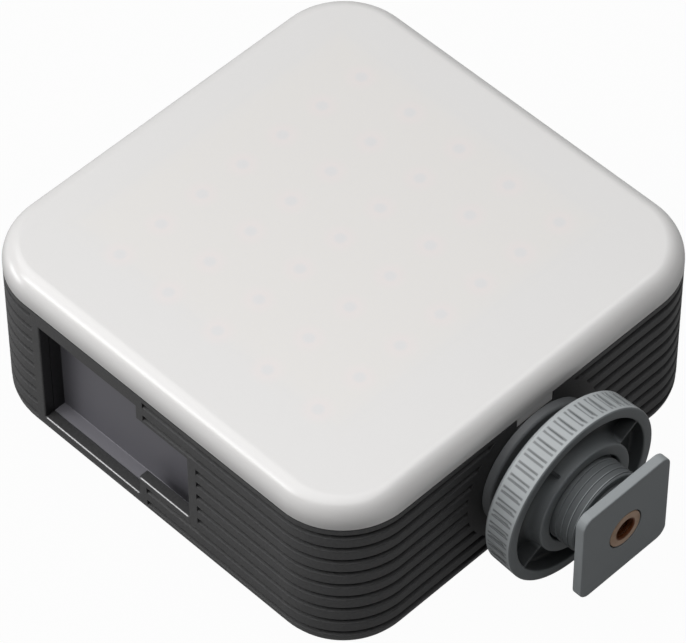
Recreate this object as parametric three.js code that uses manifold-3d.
// Pocket LED video light with a shoe mount on one side, in millimetres.
// The origin is the centre of the back face. +Z points out through the diffuser,
// -X is the side with the stepped bay and -Y is the side with the shoe mount.

import * as THREE from 'three';
import { mergeVertices } from 'three/addons/utils/BufferGeometryUtils.js';
import Module from 'manifold-3d';

const wasm = await Module();
wasm.setup();

// Lamp body
const bodySide = 80;
const housingHeight = 30;
const diffuserHeight = 4.8;
const cornerRadius = 12.3;
const backEdgeRadius = 5.2;
const faceEdgeInset = 3.1;
const faceEdgeDrop = 3.7;
const wall = 1.8;
const floorThickness = 2;

// Clearances, the overrun of every cut and the overlap of joined solids
const seatGap = 0.1;
const fitGap = 0.15;
const turnGap = 0.3;
const overrun = 0.5;
const sink = 0.2;

// Grooves round the sides
const grooveCount = 9;
const lowestGroove = 5.1;
const topGrooveDrop = 1.6;
const grooveHeight = 1.4;
const grooveFloor = 0.5;
const grooveDepth = 0.65;

// Stepped bay on the -X side, its tall end towards +Y
const bayTallLength = 21.1;
const bayNarrowLength = 10.9;
const bayLow = 5.9;
const bayTopMargin = 3;
const bayNarrowRise = 4.1;
const bayNarrowHeight = 14.1;
const bayDepth = 4;
const bayChamfer = 0.3;
const bayStartBorder = 1.55;
const bayStepBorder = 1.6;
const bayEndBorder = 1.9;
const trayHiddenEnd = 1.2;
const trayWall = 1.2;
const trayTopWall = 0.8;
const trayClearance = 1.5;

// Diffuser
const diffuserWall = 2;
const seamGap = 0.15;
const lipDepth = 2;
const lipThickness = 1.2;
const ceilingEdge = 1.5;
const tongueWidth = 7.5;
const tongueLap = 0.45;
const tongueThickness = 1.6;
const bossRadius = 2.6;
const bossBore = 1.5;

// Case screws and the columns that they pass through
const columnInset = 10.6;
const columnRadius = 3.4;
const columnBore = 1.7;
const columnClearance = 0.6;
const screwRadius = 1.35;
const screwHeadRadius = 2.8;
const screwHeadHeight = 1.7;
const counterboreDepth = 2.2;
const screwTipDepth = 1.2;
const driveWidth = 0.7;
const driveLength = 3.2;
const driveDepth = 0.9;

// LED panel
const ledColumns = 7;
const ledRows = 5;
const ledCentreX = 1.3;
const ledCentreY = 2.25;
const panelBorderX = 11.54;
const panelBorderY = 11.6;
const panelMarginX = 2.9;
const panelMarginY = 7.3;
const panelShift = 0.7;
const panelCorner = 7;
const ledSide = 3.5;
const ledHeight = 1.4;
const ledCeilingGap = 0.6;
const boardThickness = 1.6;
const spreaderThickness = 1.5;
const spreaderCorner = 8;
const frameRise = 0.9;

// Battery and its tray
const batteryThickness = 7;
const batteryCorner = 3;
const batteryEdge = 1;
const batteryTrayWall = 1.2;
const batteryTrayFloor = 0.6;
const batteryTrayHeight = 5;
const batteryHeadroom = 1.5;

// Control board, its bosses and screws
const controlBoardCorner = 2;
const boardBossRadius = 2.4;
const boardBossInsetStart = 4.3;
const boardBossInsetEnd = 12;
const boardBossInsetSide = 3.9;
const boardScrewRadius = 1;
const boardScrewHeadRadius = 1.9;
const boardScrewHeadHeight = 1.2;
const boardScrewBite = 5;

// Controls on the +X side. Their places are shares of half the body's side.
const portShare = -0.485;
const modeShare = -0.19;
const dialShare = 0.141;
const powerShare = 0.472;
const controlBorder = 2.2;
const controlBorderHeight = 1;
const portWidth = 9;
const portHeight = 3.2;
const portDepth = 7.4;
const portShell = 0.32;
const portRecess = 0.5;
const portBack = 1.4;
const portTongueThickness = 0.7;
const portTongueWidth = 6.6;
const portTongueLength = 5.2;
const buttonWidth = 8;
const buttonHeight = 4.4;
const buttonProud = 0.8;
const buttonTravel = 0.6;
const buttonEdge = 0.35;
const buttonFlange = 1;
const buttonFlangeThickness = 0.8;
const switchWidth = 6;
const switchHeight = 3.6;
const switchDepth = 3.4;
const plungerRadius = 1.2;
const plungerLength = 0.6;
const dialRadius = 6.5;
const dialThickness = 4.4;
const dialProud = 1.4;
const dialTeeth = 30;
const dialToothDepth = 0.4;
const dialEdge = 0.4;
const dialSlotGap = 0.4;
const dialBoardGap = 0.7;
const spindleRadius = 1.5;
const spindleRecess = 0.5;
const encoderRadius = 3.1;
const encoderPlateThickness = 0.8;
const encoderPlateLength = 11;
const encoderPlateWidth = 18;
const encoderPlateShift = 2.8;
const encoderPlateCorner = 1;

// Shoe mount, measured along its own axis out of the -Y side
const mountDrop = 12.3;
const landRadius = 14;
const flangeRadius = 11.1;
const flangeTopRadius = 10.7;
const flangeThickness = 1.5;
const flangeEdge = 0.5;
const postRadius = 7.8;
const postEnd = 15;
const postEdge = 0.3;
const stemBore = 3.45;
const studRadius = 3.15;
const studReach = 8.5;
const studEnd = 10.5;
const nutRadius = 5;
const nutLength = 7.5;
const nutBossWall = 2.3;
const footSide = 18.6;
const footFront = 18.8;
const footThickness = 1.75;
const footCorner = 2;
const footEdge = 0.2;
const neckRadius = 6.1;
const brassRadius = 3.3;
const brassBore = 1.8;
const brassLength = 7.6;
const brassBoreDepth = 6;
const brassEdge = 0.2;

// Lock wheel on the thread of the post, with the drag ring in its back
const wheelRadius = 15.45;
const wheelBack = 4.3;
const wheelThickness = 5.6;
const wheelBackEdge = 0.6;
const wheelFrontEdge = 0.4;
const rimThickness = 1.85;
const webThickness = 0.9;
const webFillet = 0.5;
const hubRadius = 9.5;
const hubRise = 0.8;
const hubEdge = 0.3;
const threadGap = 0.4;
const spokeCount = 4;
const spokeThickness = 0.5;
const spokeDrop = 0.2;
const knurlCount = 44;
const knurlWidth = 0.84;
const knurlDepth = 0.5;
const knurlMargin = 0.85;
const ringGap = 0.25;
const ringRadius = 10.4;
const ringThickness = 1;

// Steps of round forms, and angles in degrees
const cornerSteps = 6;
const innerSteps = 3;
const edgeSteps = 4;
const wheelSteps = 44;
const roundSteps = 36;
const innerRoundSteps = 24;
const smallSteps = 18;
const tinySteps = 10;
const pillSteps = 4;
const knurlSteps = 1;
const spokeStart = 30;
const knurlStart = 5.3;
const fullTurn = 360;
const quarterTurn = Math.PI / 2;

// Places that follow from the sizes above
const half = bodySide / 2;
const bodyHeight = housingHeight + diffuserHeight;
const groovePitch = (housingHeight - topGrooveDrop - lowestGroove) / (grooveCount - 1);
const bayHigh = housingHeight - bayTopMargin;
const bayNarrowLow = bayLow + bayNarrowRise;
const bayNarrowHigh = bayNarrowLow + bayNarrowHeight;
const mountHeight = housingHeight - mountDrop;
const diffuserBase = housingHeight + seamGap;
const tongueBase = mountHeight + flangeRadius - tongueLap;
const ceiling = bodyHeight - diffuserWall;
const lipInset = wall + fitGap;
const hollowInset = lipInset + lipThickness;
const ledBoardTop = ceiling - ledCeilingGap - ledHeight;
const ledBoardBase = ledBoardTop - boardThickness;
const spreaderTop = ledBoardBase - seatGap;
const spreaderBase = spreaderTop - spreaderThickness;
const spreaderHalf = half - bayDepth - trayWall - columnClearance;
const columnTop = spreaderBase - seatGap;
const columnPlace = half - columnInset;
const bayStart = trayWall + seatGap + columnRadius - columnPlace;
const bayStep = bayStart + bayTallLength;
const bayEnd = bayStep + bayNarrowLength;
const screwTip = ceiling - screwTipDepth;
const panelHalfX = half - panelBorderX;
const panelHalfY = half - panelBorderY;
const ledPitchX = (panelHalfX - panelMarginX) * 2 / (ledColumns - 1);
const ledPitchY = (panelHalfY - panelMarginY) * 2 / (ledRows - 1);
const batteryTrayBase = floorThickness + seatGap;
const batteryBase = batteryTrayBase + batteryTrayFloor + seatGap;
const controlBoardBase = batteryBase + batteryThickness + batteryHeadroom;
const controlBoardTop = controlBoardBase + boardThickness;
const controlHeight = controlBoardTop + seatGap + portHeight / 2;
const buttonBack = wall + seatGap + buttonFlangeThickness;
const switchFront = buttonBack + buttonTravel + seatGap;
const controlBoardStart = bayDepth + trayWall + trayClearance - half;
const controlBoardEnd = half - switchFront - plungerLength;
const controlBoardHalf = columnPlace - columnRadius - columnClearance;
const bossStart = controlBoardStart + boardBossInsetStart;
const bossEnd = controlBoardEnd - boardBossInsetEnd;
const bossSide = controlBoardHalf - boardBossInsetSide;
const batteryX = (bossStart + bossEnd) / 2;
const batteryInset = boardBossRadius + turnGap + batteryTrayWall + fitGap;
const batteryHalfX = (bossEnd - bossStart) / 2 - batteryInset;
const batteryHalfY = bossSide - batteryInset;
const portPlace = half * portShare;
const modePlace = half * modeShare;
const dialPlace = half * dialShare;
const powerPlace = half * powerShare;
const dialX = half + dialProud - dialRadius;
const wheelFront = wheelBack + wheelThickness;
const hubFront = wheelFront + hubRise;
const wheelRimInner = wheelRadius - rimThickness;
const wheelBore = postRadius + threadGap;
const ringBack = wheelBack + seatGap;
const ringSeat = ringBack + ringThickness + seatGap;
const webFront = ringSeat + webThickness;
const footBack = footFront - footThickness;

// Materials

function plastic(color, roughness) {
  return new THREE.MeshStandardMaterial({ color, roughness, metalness: 0 });
}

function metal(color, roughness) {
  return new THREE.MeshStandardMaterial({ color, roughness, metalness: 1 });
}

// Closed solids

function signedVolume(corners, triangles) {
  const [p, q, r] = [new THREE.Vector3(), new THREE.Vector3(), new THREE.Vector3()];
  return triangles.reduce((sum, [a, b, c]) => {
    p.fromArray(corners, a * 3);
    q.fromArray(corners, b * 3);
    r.fromArray(corners, c * 3);
    return sum + p.dot(q.cross(r));
  }, 0);
}

// A geometry with its shared corners merged, its flat triangles left out and its faces outwards
function toSolid(geometry) {
  geometry.deleteAttribute('normal');
  geometry.deleteAttribute('uv');
  const merged = mergeVertices(geometry);
  const corners = merged.getAttribute('position').array;
  const source = merged.getIndex().array;
  const triangles = [];
  for (let i = 0; i < source.length; i += 3) {
    const [a, b, c] = [source[i], source[i + 1], source[i + 2]];
    if (a !== b && b !== c && c !== a) {
      triangles.push([a, b, c]);
    }
  }
  const inward = signedVolume(corners, triangles) < 0;
  const facing = inward ? triangles.map(([a, b, c]) => [a, c, b]) : triangles;
  const mesh = new wasm.Mesh({
    numProp: 3,
    vertProperties: new Float32Array(corners),
    triVerts: new Uint32Array(facing.flat()),
  });
  return new wasm.Manifold(mesh);
}

// A solid through outlines that all have the same number of points
function stack(levels) {
  const count = levels[0].outline.length;
  const last = (levels.length - 1) * count;
  const positions = levels.flatMap(({ z, outline }) => outline.flatMap((p) => [p.x, p.y, z]));
  const index = [];
  for (let level = 0; level < levels.length - 1; level += 1) {
    for (let i = 0; i < count; i += 1) {
      const a = level * count + i;
      const b = level * count + (i + 1) % count;
      index.push(a, b, b + count, a, b + count, a + count);
    }
  }
  for (const [a, b, c] of THREE.ShapeUtils.triangulateShape(levels[0].outline, [])) {
    index.push(a, c, b);
  }
  for (const [a, b, c] of THREE.ShapeUtils.triangulateShape(levels.at(-1).outline, [])) {
    index.push(last + a, last + b, last + c);
  }
  const geometry = new THREE.BufferGeometry();
  geometry.setAttribute('position', new THREE.Float32BufferAttribute(positions, 3));
  geometry.setIndex(index);
  return toSolid(geometry);
}

function prism(outline, low, high) {
  return stack([{ z: low, outline }, { z: high, outline }]);
}

function block([x0, x1], [y0, y1], [z0, z1]) {
  const geometry = new THREE.BoxGeometry(x1 - x0, y1 - y0, z1 - z0);
  return toSolid(geometry.translate((x0 + x1) / 2, (y0 + y1) / 2, (z0 + z1) / 2));
}

// A rod along Z
function rod(radius, low, high, steps, x = 0, y = 0) {
  const geometry = new THREE.CylinderGeometry(radius, radius, high - low, steps);
  geometry.rotateX(quarterTurn);
  return toSolid(geometry.translate(x, y, (low + high) / 2));
}

// A profile of [radius, height] pairs turned about Z. It starts and ends on the axis.
function turned(profile, steps) {
  const points = profile.map(([radius, height]) => new THREE.Vector2(radius, height));
  const geometry = new THREE.LatheGeometry(points, steps);
  return toSolid(geometry.rotateX(quarterTurn));
}

// A profile that closes on itself, turned about Z
function turnedRing(profile, steps) {
  return turned([...profile, profile[0]], steps);
}

function union(solids) {
  return solids.reduce((sum, solid) => sum.add(solid));
}

function rods(places, radius, low, high, steps) {
  return union(places.map(([x, y]) => rod(radius, low, high, steps, x, y)));
}

function toMesh(name, solid, material) {
  const { vertProperties, triVerts } = solid.getMesh();
  const geometry = new THREE.BufferGeometry();
  geometry.setAttribute('position', new THREE.BufferAttribute(vertProperties, 3));
  geometry.setIndex(new THREE.BufferAttribute(triVerts, 1));
  geometry.computeVertexNormals();
  const mesh = new THREE.Mesh(geometry, material);
  mesh.name = name;
  return mesh;
}

// Outlines and places

const cornerSigns = [[1, 1], [-1, 1], [-1, -1], [1, -1]];

// A rounded rectangle about (x, y), counterclockwise
function roundedRectangle(halfX, halfY, radius, x = 0, y = 0, steps = cornerSteps) {
  return cornerSigns.flatMap(([sx, sy], quarter) => Array.from({ length: steps + 1 }, (_, step) => {
    const angle = (quarter + step / steps) * quarterTurn;
    const px = x + sx * (halfX - radius) + radius * Math.cos(angle);
    const py = y + sy * (halfY - radius) + radius * Math.sin(angle);
    return new THREE.Vector2(px, py);
  }));
}

// The body's outline, moved in by an inset
function bodyOutline(inset, steps = cornerSteps) {
  return roundedRectangle(half - inset, half - inset, cornerRadius - inset, 0, 0, steps);
}

// A quarter of an ellipse from the tip of an edge to where it is flush
function roundedEdge(rise, inset) {
  return Array.from({ length: edgeSteps + 1 }, (_, step) => {
    const angle = step / edgeSteps * quarterTurn;
    return { rise: rise * (1 - Math.cos(angle)), inset: inset * (1 - Math.sin(angle)) };
  });
}

function columnPlaces() {
  return cornerSigns.map(([sx, sy]) => [sx * columnPlace, sy * columnPlace]);
}

function boardBossPlaces() {
  return cornerSigns.map(([sx, sy]) => [sx > 0 ? bossEnd : bossStart, sy * bossSide]);
}

// The frame of a side: x runs along the side and y up it, both as seen from outside,
// and z points out of it. The turn is 0 for -Y, 1 for +X and -1 for -X.
function sideFrame(turn, height = 0) {
  const frame = new THREE.Group();
  frame.rotation.set(quarterTurn, 0, turn * quarterTurn, 'ZXY');
  frame.position.set(half * turn, turn === 0 ? -half : 0, height);
  frame.updateMatrix();
  return frame;
}

// A solid that is made in the frame of a side, moved to the body
function fromSide(solid, turn, height = 0) {
  return solid.transform(sideFrame(turn, height).matrix.elements);
}

// Housing

function housingBlank() {
  const edge = roundedEdge(backEdgeRadius, backEdgeRadius)
    .map(({ rise, inset }) => ({ z: rise, outline: bodyOutline(inset) }));
  return stack([...edge, { z: housingHeight, outline: bodyOutline(0) }]);
}

function housingCavity() {
  const edge = roundedEdge(backEdgeRadius - floorThickness, backEdgeRadius - wall)
    .map(({ rise, inset }) => ({ z: floorThickness + rise, outline: bodyOutline(wall + inset, innerSteps) }));
  return stack([...edge, { z: housingHeight + overrun, outline: bodyOutline(wall, innerSteps) }]);
}

function grooveCentre(index) {
  return lowestGroove + index * groovePitch;
}

// The rings that the grooves cut away where nothing stops them
function grooveRings() {
  const outside = bodyOutline(-2 * overrun);
  const levels = [{ z: 0, outline: outside }];
  for (let index = 0; index < grooveCount; index += 1) {
    const centre = grooveCentre(index);
    levels.push({ z: centre - grooveHeight / 2, outline: outside });
    levels.push({ z: centre - grooveHeight / 2, outline: bodyOutline(0) });
    levels.push({ z: centre - grooveFloor / 2, outline: bodyOutline(grooveDepth) });
    levels.push({ z: centre + grooveFloor / 2, outline: bodyOutline(grooveDepth) });
    levels.push({ z: centre + grooveHeight / 2, outline: bodyOutline(0) });
    levels.push({ z: centre + grooveHeight / 2, outline: outside });
  }
  levels.push({ z: housingHeight, outline: outside });
  return prism(bodyOutline(-overrun), overrun, housingHeight - overrun).subtract(stack(levels));
}

// The middle of the rib below the first groove that reaches over a height
function ribBelow(height) {
  const index = Math.floor((height - grooveHeight / 2 - lowestGroove) / groovePitch) + 1;
  return grooveCentre(index) - groovePitch / 2;
}

// The middle of the rib below the first groove that lies wholly over a height
function ribAbove(height) {
  const index = Math.ceil((height + grooveHeight / 2 - lowestGroove) / groovePitch);
  return grooveCentre(index) - groovePitch / 2;
}

// Plain areas round the bay, the controls and the mount, where the grooves stop
function plainAreas() {
  const across = [-wall, overrun * 2];
  const stepPlace = bayStep + bayStepBorder;
  const bayTall = block([bayStart - bayStartBorder, stepPlace], [0, housingHeight], across);
  const narrowHeights = [ribBelow(bayNarrowLow), ribAbove(bayNarrowHigh)];
  const bayNarrow = block([stepPlace - sink, bayEnd + bayEndBorder], narrowHeights, across);
  const controlStart = portPlace - portWidth / 2 - controlBorder;
  const controlEnd = powerPlace + buttonWidth / 2 + controlBorder;
  const slotHalf = dialThickness / 2 + dialSlotGap + controlBorderHeight;
  const controlHeights = [ribBelow(controlHeight - slotHalf), ribAbove(controlHeight + slotHalf)];
  const controls = block([controlStart, controlEnd], controlHeights, across);
  const land = rod(landRadius, across[0], across[1], roundSteps);
  return union([fromSide(bayTall.add(bayNarrow), -1), fromSide(controls, 1), fromSide(land, 0, mountHeight)]);
}

// The stepped outline of the bay's mouth, grown by an amount on every side
function bayOutline(grow) {
  return [
    [bayStart - grow, bayLow - grow],
    [bayStep + grow, bayLow - grow],
    [bayStep + grow, bayNarrowLow - grow],
    [bayEnd + grow, bayNarrowLow - grow],
    [bayEnd + grow, bayNarrowHigh + grow],
    [bayStep + grow, bayNarrowHigh + grow],
    [bayStep + grow, bayHigh + grow],
    [bayStart - grow, bayHigh + grow],
  ].map(([x, y]) => new THREE.Vector2(x, y));
}

function bayMouth() {
  return stack([
    { z: -wall - overrun, outline: bayOutline(0) },
    { z: -bayChamfer, outline: bayOutline(0) },
    { z: 0, outline: bayOutline(bayChamfer) },
    { z: overrun, outline: bayOutline(bayChamfer) },
  ]);
}

function pillOutline(width, height, grow, x) {
  const radius = height / 2 + grow;
  return roundedRectangle(width / 2 + grow, radius, radius, x, 0, pillSteps);
}

// Openings for the port, the two buttons and the dial, in the frame of the +X side
function controlOpenings() {
  const through = [-wall - overrun, overrun];
  const port = prism(pillOutline(portWidth, portHeight, fitGap, portPlace), ...through);
  const buttons = [modePlace, powerPlace]
    .map((place) => prism(pillOutline(buttonWidth, buttonHeight, fitGap, place), ...through));
  const reach = dialRadius - dialProud - wall;
  const slotHalf = Math.sqrt(dialRadius ** 2 - reach ** 2) + dialSlotGap;
  const slotHeight = dialThickness / 2 + dialSlotGap;
  const slot = block([dialPlace - slotHalf, dialPlace + slotHalf], [-slotHeight, slotHeight], through);
  return union([port, ...buttons, slot]);
}

// The boss for the mount's nut, open to the inside, in the frame of the mount
function nutBoss() {
  const depth = wall + seatGap + nutLength + seatGap;
  return rod(nutRadius + nutBossWall, -depth, -wall + sink, innerRoundSteps);
}

function nutBores() {
  const depth = wall + seatGap + nutLength + overrun;
  const through = rod(stemBore, -wall - overrun, overrun, smallSteps);
  return through.add(rod(nutRadius + seatGap, -depth, -wall, innerRoundSteps));
}

function tongueNotch() {
  const halfWidth = tongueWidth / 2 + fitGap;
  const heights = [tongueBase - fitGap - seamGap, housingHeight + overrun];
  return block([-halfWidth, halfWidth], heights, [-wall - overrun, overrun]);
}

function housing() {
  const shell = housingBlank().subtract(grooveRings().subtract(plainAreas())).subtract(housingCavity());
  const columns = rods(columnPlaces(), columnRadius, floorThickness - sink, columnTop, smallSteps);
  const bossTop = controlBoardBase - seatGap;
  const bosses = rods(boardBossPlaces(), boardBossRadius, floorThickness - sink, bossTop, smallSteps);
  const body = union([shell, columns, bosses, fromSide(nutBoss(), 0, mountHeight)]);
  const boreLow = bossTop - boardScrewBite - overrun;
  const cuts = [
    rods(columnPlaces(), columnBore, 0, columnTop + overrun, tinySteps),
    rods(columnPlaces(), screwHeadRadius + turnGap, -overrun, counterboreDepth, smallSteps),
    rods(boardBossPlaces(), boardScrewRadius + fitGap, boreLow, bossTop + overrun, tinySteps),
    fromSide(bayMouth(), -1),
    fromSide(controlOpenings(), 1, controlHeight),
    fromSide(nutBores(), 0, mountHeight),
    fromSide(tongueNotch(), 0),
  ];
  return body.subtract(union(cuts));
}

function bayTray() {
  const end = bayEnd + trayHiddenEnd;
  const outerHeights = [bayLow - trayWall, bayHigh + trayTopWall];
  const outerDepths = [-bayDepth - trayWall, -wall - seatGap];
  const outer = block([bayStart - trayWall, end + trayWall], outerHeights, outerDepths);
  return outer.subtract(block([bayStart, end], [bayLow, bayHigh], [-bayDepth, 0]));
}

// Diffuser

function diffuser() {
  const edge = roundedEdge(faceEdgeDrop, faceEdgeInset)
    .map(({ rise, inset }) => ({ z: bodyHeight - rise, outline: bodyOutline(inset) }));
  const shell = stack([{ z: diffuserBase, outline: bodyOutline(0) }, ...edge.reverse()]);
  const lip = prism(bodyOutline(lipInset, innerSteps), diffuserBase - lipDepth, diffuserBase + sink);
  const innerEdge = roundedEdge(ceilingEdge, ceilingEdge)
    .map(({ rise, inset }) => ({ z: ceiling - rise, outline: bodyOutline(hollowInset + inset, innerSteps) }));
  const hollow = stack([
    { z: diffuserBase - lipDepth - overrun, outline: bodyOutline(hollowInset, innerSteps) },
    ...innerEdge.reverse(),
  ]);
  const tongueHeights = [tongueBase, diffuserBase + sink];
  const tongue = block([-tongueWidth / 2, tongueWidth / 2], tongueHeights, [-tongueThickness, -seatGap]);
  const bosses = rods(columnPlaces(), bossRadius, spreaderTop + seatGap, ceiling + sink, smallSteps);
  const body = union([shell.add(lip).subtract(hollow), fromSide(tongue, 0), bosses]);
  return body.subtract(rods(columnPlaces(), bossBore, spreaderTop, screwTip + seatGap, tinySteps));
}

// LED panel

function panelOutline(grow) {
  const x = ledCentreX + panelShift;
  const y = ledCentreY + panelShift;
  return roundedRectangle(panelHalfX + grow, panelHalfY + grow, panelCorner + grow, x, y, innerSteps);
}

function ledAt(x, y) {
  const side = ledSide / 2;
  return block([x - side, x + side], [y - side, y + side], [ledBoardTop - sink, ledBoardTop + ledHeight]);
}

// Holes that the diffuser's bosses pass through
function bossHoles() {
  return rods(columnPlaces(), bossRadius + turnGap, spreaderTop, ceiling, smallSteps);
}

function ledBoard() {
  const leds = [];
  for (let column = 0; column < ledColumns; column += 1) {
    for (let row = 0; row < ledRows; row += 1) {
      const x = ledCentreX + (column - (ledColumns - 1) / 2) * ledPitchX;
      const y = ledCentreY + (row - (ledRows - 1) / 2) * ledPitchY;
      leds.push(ledAt(x, y));
    }
  }
  const board = prism(panelOutline(0), ledBoardBase, ledBoardTop).subtract(bossHoles());
  return union([board, ...leds]);
}

function reflectorFrame() {
  const top = ledBoardTop + frameRise;
  const plate = prism(bodyOutline(hollowInset + fitGap, innerSteps), ledBoardBase, top);
  const opening = prism(panelOutline(turnGap), ledBoardBase - overrun, top + overrun);
  return plate.subtract(opening).subtract(bossHoles());
}

function heatSpreader() {
  const outline = roundedRectangle(spreaderHalf, spreaderHalf, spreaderCorner, 0, 0, innerSteps);
  const plate = prism(outline, spreaderBase, spreaderTop);
  const holes = rods(columnPlaces(), columnBore, spreaderBase - overrun, spreaderTop + overrun, tinySteps);
  return plate.subtract(holes);
}

// Screws

// A pan head screw without its drive, its head down at the origin
function screw(headRadius, headHeight, shankRadius, shankLength, steps) {
  const crown = headHeight / 2;
  return turned([
    [0, 0],
    [headRadius - crown, 0],
    [headRadius, crown],
    [headRadius, headHeight],
    [shankRadius, headHeight],
    [shankRadius, headHeight + shankLength - shankRadius],
    [0, headHeight + shankLength],
  ], steps);
}

function caseScrew() {
  const shankLength = screwTip - counterboreDepth + seatGap;
  const body = screw(screwHeadRadius, screwHeadHeight, screwRadius, shankLength, smallSteps);
  const long = [-driveLength / 2, driveLength / 2];
  const narrow = [-driveWidth / 2, driveWidth / 2];
  const deep = [-overrun, driveDepth];
  return body.subtract(block(long, narrow, deep).add(block(narrow, long, deep)));
}

function boardScrew() {
  const shankLength = boardThickness + seatGap + boardScrewBite;
  return screw(boardScrewHeadRadius, boardScrewHeadHeight, boardScrewRadius, shankLength, tinySteps);
}

// Battery and control board

// The battery's outline, moved in by an amount on every side
function batteryOutline(shrink) {
  return roundedRectangle(
    batteryHalfX - shrink, batteryHalfY - shrink, batteryCorner - shrink, batteryX, 0, innerSteps);
}

function batteryTray() {
  const outline = batteryOutline(-batteryTrayWall - fitGap);
  const pocket = batteryOutline(-fitGap);
  const floorTop = batteryTrayBase + batteryTrayFloor;
  const top = batteryTrayBase + batteryTrayHeight;
  return prism(outline, batteryTrayBase, top).subtract(prism(pocket, floorTop, top + overrun));
}

function battery() {
  const top = batteryBase + batteryThickness;
  return stack([
    { z: batteryBase, outline: batteryOutline(batteryEdge) },
    { z: batteryBase + batteryEdge, outline: batteryOutline(0) },
    { z: top - batteryEdge, outline: batteryOutline(0) },
    { z: top, outline: batteryOutline(batteryEdge) },
  ]);
}

function controlBoard() {
  const halfX = (controlBoardEnd - controlBoardStart) / 2;
  const x = (controlBoardEnd + controlBoardStart) / 2;
  const outline = roundedRectangle(halfX, controlBoardHalf, controlBoardCorner, x, 0, innerSteps);
  const through = [controlBoardBase - overrun, controlBoardTop + overrun];
  const notch = rod(dialRadius + dialBoardGap, ...through, roundSteps, dialX, dialPlace);
  const holes = rods(boardBossPlaces(), boardScrewRadius + turnGap, ...through, tinySteps);
  return prism(outline, controlBoardBase, controlBoardTop).subtract(notch).subtract(holes);
}

// Controls, made in the frame of the +X side at the controls' height

function usbPort() {
  const front = -portRecess;
  const back = front - portDepth;
  const shell = prism(pillOutline(portWidth, portHeight, 0, portPlace), back, front);
  const hollowOutline = pillOutline(portWidth, portHeight, -portShell, portPlace);
  const hollow = prism(hollowOutline, back + portBack, front + overrun);
  const widths = [portPlace - portTongueWidth / 2, portPlace + portTongueWidth / 2];
  const heights = [-portTongueThickness / 2, portTongueThickness / 2];
  const tongue = block(widths, heights, [back + portBack - sink, back + portBack + portTongueLength]);
  return shell.subtract(hollow).add(tongue);
}

function button() {
  const cap = stack([
    { z: -wall - seatGap - sink, outline: pillOutline(buttonWidth, buttonHeight, 0, 0) },
    { z: buttonProud - buttonEdge, outline: pillOutline(buttonWidth, buttonHeight, 0, 0) },
    { z: buttonProud, outline: pillOutline(buttonWidth, buttonHeight, -buttonEdge, 0) },
  ]);
  const flange = prism(pillOutline(buttonWidth, buttonHeight, buttonFlange, 0), -buttonBack, -wall - seatGap);
  return cap.add(flange);
}

function buttonSwitch() {
  const low = controlBoardTop + seatGap - controlHeight;
  const front = -switchFront - plungerLength;
  const width = [-switchWidth / 2, switchWidth / 2];
  const body = block(width, [low, low + switchHeight], [front - switchDepth, front]);
  return body.add(rod(plungerRadius, front - sink, -switchFront, tinySteps));
}

// Adjusting dial and its encoder, made about the dial's axis at the controls' height

function dialOutline(shrink) {
  return Array.from({ length: dialTeeth * 2 }, (_, index) => {
    const radius = dialRadius - shrink - (index % 2) * dialToothDepth;
    const angle = index * quarterTurn * 2 / dialTeeth;
    return new THREE.Vector2(radius * Math.cos(angle), radius * Math.sin(angle));
  });
}

function adjustDial() {
  const top = dialThickness / 2;
  const body = stack([
    { z: -top, outline: dialOutline(dialEdge) },
    { z: dialEdge - top, outline: dialOutline(0) },
    { z: top - dialEdge, outline: dialOutline(0) },
    { z: top, outline: dialOutline(dialEdge) },
  ]);
  return body.subtract(rod(spindleRadius + fitGap, -top - overrun, top + overrun, smallSteps));
}

function dialEncoder() {
  const plateTop = controlBoardBase - seatGap - controlHeight;
  const plateBase = plateTop - encoderPlateThickness;
  const plateHalves = [encoderPlateLength / 2, encoderPlateWidth / 2];
  const outline = roundedRectangle(...plateHalves, encoderPlateCorner, -encoderPlateShift, 0, innerSteps);
  const bodyTop = -dialThickness / 2 - turnGap;
  const body = rod(encoderRadius, plateTop - sink, bodyTop, smallSteps, 0);
  const spindle = rod(spindleRadius, bodyTop - sink, dialThickness / 2 - spindleRecess, smallSteps);
  return union([prism(outline, plateBase, plateTop), body, spindle]);
}

// Shoe mount, made along its own axis

function threadInsert() {
  const front = -wall - seatGap;
  const back = front - nutLength;
  return turnedRing([
    [stemBore, back],
    [nutRadius, back],
    [nutRadius, front],
    [stemBore, front],
  ], innerRoundSteps);
}

function mountFlange() {
  return turnedRing([
    [stemBore, seatGap],
    [flangeRadius, seatGap],
    [flangeTopRadius, flangeThickness - flangeEdge],
    [flangeTopRadius - flangeEdge, flangeThickness],
    [stemBore, flangeThickness],
  ], roundSteps);
}

function threadedPost() {
  return turnedRing([
    [stemBore, flangeThickness + seatGap],
    [postRadius, flangeThickness + seatGap],
    [postRadius, postEnd - postEdge],
    [postRadius - postEdge, postEnd],
    [stemBore, postEnd],
  ], roundSteps);
}

function mountStud() {
  return rod(studRadius, -studReach, studEnd, smallSteps);
}

function shoeFoot() {
  const outline = (shrink) => {
    const side = footSide / 2 - shrink;
    return roundedRectangle(side, side, footCorner - shrink, 0, 0, pillSteps);
  };
  const plate = stack([
    { z: footBack, outline: outline(footEdge) },
    { z: footBack + footEdge, outline: outline(0) },
    { z: footFront - footEdge, outline: outline(0) },
    { z: footFront, outline: outline(footEdge) },
  ]);
  const neck = rod(neckRadius, postEnd + seatGap, footBack + sink, roundSteps);
  return plate.add(neck).subtract(rod(stemBore, postEnd, footFront + overrun, smallSteps));
}

function brassInsert() {
  return turned([
    [0, footFront - brassLength],
    [brassRadius, footFront - brassLength],
    [brassRadius, footFront - brassEdge],
    [brassRadius - brassEdge, footFront],
    [brassBore + brassEdge, footFront],
    [brassBore, footFront - brassEdge],
    [brassBore, footFront - brassBoreDepth],
    [0, footFront - brassBoreDepth],
  ], smallSteps);
}

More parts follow.
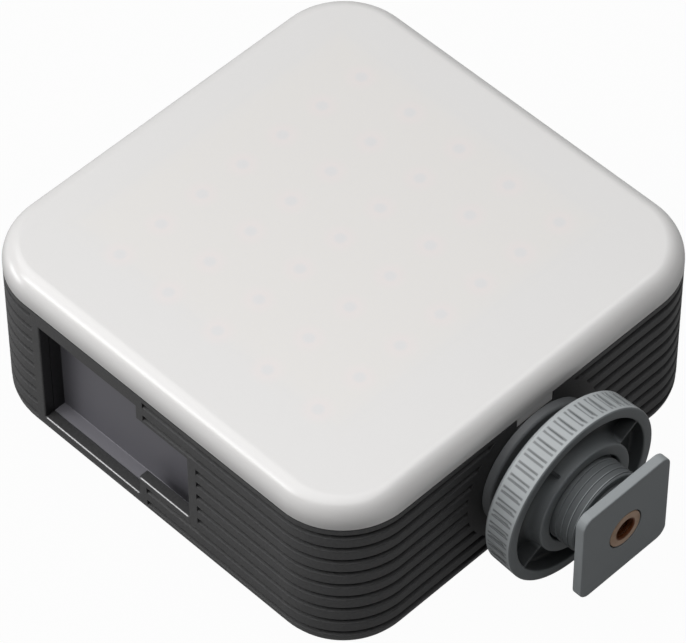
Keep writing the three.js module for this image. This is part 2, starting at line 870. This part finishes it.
function dragRing() {
  return turnedRing([
    [postRadius + ringGap, ringBack],
    [ringRadius, ringBack],
    [ringRadius, ringBack + ringThickness],
    [postRadius + ringGap, ringBack + ringThickness],
  ], innerRoundSteps);
}

// The wheel before its spokes and knurls: rim, dished web and hub
function wheelBlank() {
  const pocket = ringRadius + turnGap;
  return turnedRing([
    [pocket, wheelBack],
    [wheelRadius - wheelBackEdge, wheelBack],
    [wheelRadius, wheelBack + wheelBackEdge],
    [wheelRadius, wheelFront - wheelFrontEdge],
    [wheelRadius - wheelFrontEdge, wheelFront],
    [wheelRimInner, wheelFront],
    [wheelRimInner, webFront + webFillet],
    [wheelRimInner - webFillet, webFront],
    [hubRadius + webFillet, webFront],
    [hubRadius, webFront + webFillet],
    [hubRadius, hubFront - hubEdge],
    [hubRadius - hubEdge, hubFront],
    [wheelBore + hubEdge, hubFront],
    [wheelBore, hubFront - hubEdge],
    [wheelBore, ringSeat],
    [pocket, ringSeat],
  ], wheelSteps);
}

function wheelSpokes() {
  const spoke = block(
    [hubRadius - sink, wheelRimInner + sink],
    [-spokeThickness / 2, spokeThickness / 2],
    [webFront - sink, wheelFront - spokeDrop],
  );
  const turns = Array.from({ length: spokeCount }, (_, index) => spokeStart + index * fullTurn / spokeCount);
  return union(turns.map((angle) => spoke.rotate([0, 0, angle])));
}

// One closed knurl pocket, its mouth facing out along X
function knurlPocket() {
  const long = (wheelThickness - 2 * knurlMargin) / 2;
  const middle = (wheelBack + wheelFront) / 2;
  const round = knurlWidth / 2;
  const outline = roundedRectangle(long, round, round, -middle, 0, knurlSteps);
  const pocket = prism(outline, wheelRadius - knurlDepth, wheelRadius + overrun);
  return pocket.rotate([0, fullTurn / 4, 0]);
}

function lockWheel() {
  const pocket = knurlPocket();
  const turns = Array.from({ length: knurlCount }, (_, index) => knurlStart + index * fullTurn / knurlCount);
  const knurls = union(turns.map((angle) => pocket.rotate([0, 0, angle])));
  return wheelBlank().add(wheelSpokes()).subtract(knurls);
}

// The object

const blackPlastic = plastic(0x2b2b2d, 0.6);
const trayPlastic = plastic(0x55545a, 0.45);
const greyPlastic = plastic(0x565b60, 0.5);
const whitePlastic = plastic(0xe6e5e2, 0.4);

function addBody(light) {
  light.add(toMesh('housing', housing(), blackPlastic));
  light.add(toMesh('diffuser', diffuser(), plastic(0xe4e2e0, 0.3)));
  light.add(toMesh('led_board', ledBoard(), plastic(0xe8dfda, 0.5)));
  light.add(toMesh('reflector_frame', reflectorFrame(), whitePlastic));
  light.add(toMesh('heat_spreader', heatSpreader(), metal(0xb8babd, 0.4)));
  light.add(toMesh('battery_tray', batteryTray(), blackPlastic));
  light.add(toMesh('battery', battery(), plastic(0x3d5f8a, 0.5)));
  light.add(toMesh('control_board', controlBoard(), plastic(0x1d5a3a, 0.5)));
  columnPlaces().forEach(([x, y], index) => {
    const mesh = toMesh(`case_screw_${index + 1}`, caseScrew(), metal(0x3a3a3c, 0.4));
    mesh.position.set(x, y, counterboreDepth - seatGap - screwHeadHeight);
    light.add(mesh);
  });
  boardBossPlaces().forEach(([x, y], index) => {
    const mesh = toMesh(`board_screw_${index + 1}`, boardScrew(), metal(0xb0b2b5, 0.35));
    mesh.rotation.x = Math.PI;
    mesh.position.set(x, y, controlBoardTop + seatGap + boardScrewHeadHeight);
    light.add(mesh);
  });
}

function addBay(light) {
  const side = sideFrame(-1);
  side.add(toMesh('bay_tray', bayTray(), trayPlastic));
  light.add(side);
}

function addControls(light) {
  const side = sideFrame(1, controlHeight);
  side.add(toMesh('usb_port', usbPort(), metal(0xb4b6b9, 0.35)));
  [['power', powerPlace], ['mode', modePlace]].forEach(([name, place]) => {
    const cap = toMesh(`${name}_button`, button(), greyPlastic);
    const tactile = toMesh(`${name}_switch`, buttonSwitch(), blackPlastic);
    cap.position.x = place;
    tactile.position.x = place;
    side.add(cap, tactile);
  });
  light.add(side);
  const dial = toMesh('adjust_dial', adjustDial(), greyPlastic);
  const encoder = toMesh('dial_encoder', dialEncoder(), blackPlastic);
  dial.position.set(dialX, dialPlace, controlHeight);
  encoder.position.set(dialX, dialPlace, controlHeight);
  light.add(dial, encoder);
}

function addMount(light) {
  const mount = sideFrame(0, mountHeight);
  mount.add(toMesh('thread_insert', threadInsert(), metal(0xb08d4e, 0.4)));
  mount.add(toMesh('mount_stud', mountStud(), metal(0xb0b2b5, 0.35)));
  mount.add(toMesh('mount_flange', mountFlange(), plastic(0x3c3e41, 0.5)));
  mount.add(toMesh('threaded_post', threadedPost(), greyPlastic));
  mount.add(toMesh('shoe_foot', shoeFoot(), greyPlastic));
  mount.add(toMesh('brass_insert', brassInsert(), metal(0x7a4a1e, 0.4)));
  mount.add(toMesh('drag_ring', dragRing(), plastic(0x202022, 0.8)));
  mount.add(toMesh('lock_wheel', lockWheel(), plastic(0x6b7176, 0.45)));
  light.add(mount);
}

const light = new THREE.Group();
addBody(light);
addBay(light);
addControls(light);
addMount(light);

export default light;
